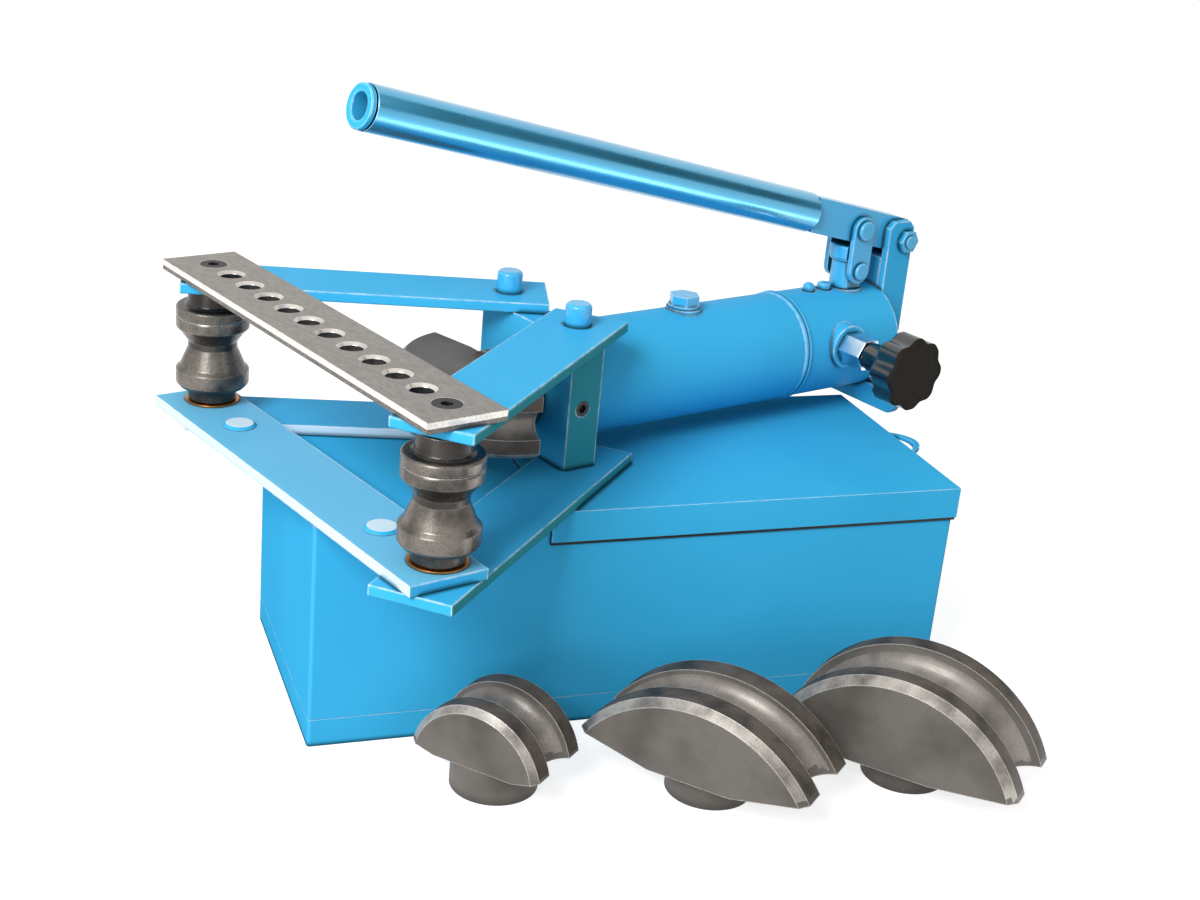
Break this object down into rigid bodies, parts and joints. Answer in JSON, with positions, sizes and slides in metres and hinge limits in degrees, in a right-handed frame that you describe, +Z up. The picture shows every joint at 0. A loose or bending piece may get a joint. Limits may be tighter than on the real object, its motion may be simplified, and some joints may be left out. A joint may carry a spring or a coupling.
{
  "type": "tube bender",
  "caption": "Hand-pumped hydraulic tube bender on its steel case: ram with half-moon former, waisted counter rollers between hinged plates, pump lever and loose formers.",
  "frame": {"origin": "on the underside of the case, directly below the middle between the two crosshead pins", "axes": "+X back along the ram towards the pump, +Y to the left side of the bender as seen from behind the rollers looking along the ram, +Z up"},
  "size_m": [0.631, 0.5977, 0.4728],
  "materials": {
    "blue_paint": "gloss",
    "strap_steel": "satin",
    "dark_casting": "satin",
    "bright_steel": "satin",
    "ground_steel": "polished",
    "bronze": "satin",
    "black_plastic": "gloss",
    "seal_rubber": "matte"
  },
  "bodies": {
    "bender": {"bottom_pan": "blue_paint", "case_body": "blue_paint", "case_deck": "blue_paint", "lower_arm_right": "blue_paint", "lower_arm_left": "blue_paint", "upper_arm_right": "blue_paint", "upper_arm_left": "blue_paint", "cross_bar": "blue_paint", "bar_plugs": "blue_paint", "crosshead": "blue_paint", "deck_bolts": "blue_paint", "reservoir_tube": "blue_paint", "filler_plug": "blue_paint", "pump_block": "blue_paint", "bleed_screw": "blue_paint", "relief_valve_cap": "blue_paint", "fulcrum_plate_right": "blue_paint", "fulcrum_plate_left": "blue_paint", "fulcrum_bolt": "blue_paint", "fulcrum_nut": "blue_paint", "rear_foot": "blue_paint", "top_strap": "strap_steel", "crosshead_screws": "dark_casting", "release_gland": "bright_steel", "deck_nuts": "bright_steel", "return_spring": "bright_steel", "pressure_cylinder": "bright_steel", "pump_gland": "bright_steel", "roller_washers": "bronze", "rod_guide_bush": "bronze", "rod_wiper": "seal_rubber"},
    "lid": {"lid": "blue_paint", "lid_pull": "blue_paint"},
    "ram": {"ram_rod": "ground_steel", "ram_piston": "bright_steel", "piston_seal": "seal_rubber"},
    "mounted_former": {"mounted_former": "dark_casting"},
    "lever": {"lever_bar": "blue_paint", "link_pin_top": "blue_paint"},
    "handle": {"handle_tube": "blue_paint"},
    "pump_links": {"pump_link_right": "blue_paint", "pump_link_left": "blue_paint"},
    "plunger": {"pump_plunger": "ground_steel", "plunger_sleeve": "blue_paint", "plunger_cap": "blue_paint", "link_pin_bottom": "blue_paint"},
    "release_valve": {"release_spindle": "bright_steel", "release_knob": "black_plastic"},
    "roller_right": {"roller_right": "dark_casting"},
    "roller_left": {"roller_left": "dark_casting"},
    "roller_pin_right": {"roller_pin_right": "dark_casting"},
    "roller_pin_left": {"roller_pin_left": "dark_casting"},
    "crosshead_pin_right": {"crosshead_pin_right": "blue_paint"},
    "crosshead_pin_left": {"crosshead_pin_left": "blue_paint"},
    "former_small": {"former_small": "dark_casting"},
    "former_medium": {"former_medium": "dark_casting"},
    "former_large": {"former_large": "dark_casting"}
  },
  "joints": [
    {"name": "ram_slide", "type": "slide", "parent": "bender", "child": "ram", "axis": [-1, 0, 0], "range_m": [0, 0.11], "deforming": ["return_spring"]},
    {"name": "former_slide", "type": "slide", "parent": "ram", "child": "mounted_former", "axis": [-1, 0, 0], "range_m": [0, 0.035]},
    {"name": "lever_swing", "type": "hinge", "parent": "bender", "child": "lever", "pos_m": [0.3735, 0, 0.3191], "axis": [0, 1, 0], "range_deg": [0, 25]},
    {"name": "link_swing", "type": "hinge", "parent": "lever", "child": "pump_links", "pos_m": [0.32354, 0, 0.33161], "axis": [0, 1, 0], "range_deg": [-10, 0]},
    {"name": "plunger_slide", "type": "slide", "parent": "bender", "child": "plunger", "axis": [0, 0, 1], "range_m": [0, 0.0213]},
    {"name": "handle_slide", "type": "slide", "parent": "lever", "child": "handle", "axis": [-0.97, 0, 0.2429], "range_m": [0, 0.1]},
    {"name": "release_turn", "type": "hinge", "parent": "bender", "child": "release_valve", "pos_m": [0.291, -0.1, 0.2415], "axis": [0, -1, 0], "range_deg": [0, 360]},
    {"name": "roller_right_spin", "type": "hinge", "parent": "bender", "child": "roller_right", "pos_m": [-0.192, -0.165, 0.24], "axis": [0, 0, 1], "continuous": true},
    {"name": "roller_left_spin", "type": "hinge", "parent": "bender", "child": "roller_left", "pos_m": [-0.192, 0.165, 0.24], "axis": [0, 0, 1], "continuous": true},
    {"name": "roller_pin_right_lift", "type": "slide", "parent": "bender", "child": "roller_pin_right", "axis": [0, 0, 1], "range_m": [0, 0.13]},
    {"name": "roller_pin_left_lift", "type": "slide", "parent": "bender", "child": "roller_pin_left", "axis": [0, 0, 1], "range_m": [0, 0.13]},
    {"name": "crosshead_pin_right_lift", "type": "slide", "parent": "bender", "child": "crosshead_pin_right", "axis": [0, 0, 1], "range_m": [0, 0.13]},
    {"name": "crosshead_pin_left_lift", "type": "slide", "parent": "bender", "child": "crosshead_pin_left", "axis": [0, 0, 1], "range_m": [0, 0.13]},
    {"name": "lid_slide", "type": "slide", "parent": "bender", "child": "lid", "axis": [0.9516, -0.3074, 0], "range_m": [0, 0.3]},
    {"name": "former_small_lift", "type": "slide", "parent": "bender", "child": "former_small", "axis": [0, 0, 1], "range_m": [0, 0.1]},
    {"name": "former_medium_lift", "type": "slide", "parent": "bender", "child": "former_medium", "axis": [0, 0, 1], "range_m": [0, 0.15]},
    {"name": "former_large_lift", "type": "slide", "parent": "bender", "child": "former_large", "axis": [0, 0, 1], "range_m": [0, 0.15]}
  ],
  "couplings": [
    {"joint": "link_swing", "follows": "lever_swing", "ratio": -0.4},
    {"joint": "plunger_slide", "follows": "lever_swing", "m_per_rad": 0.0488}
  ]
}
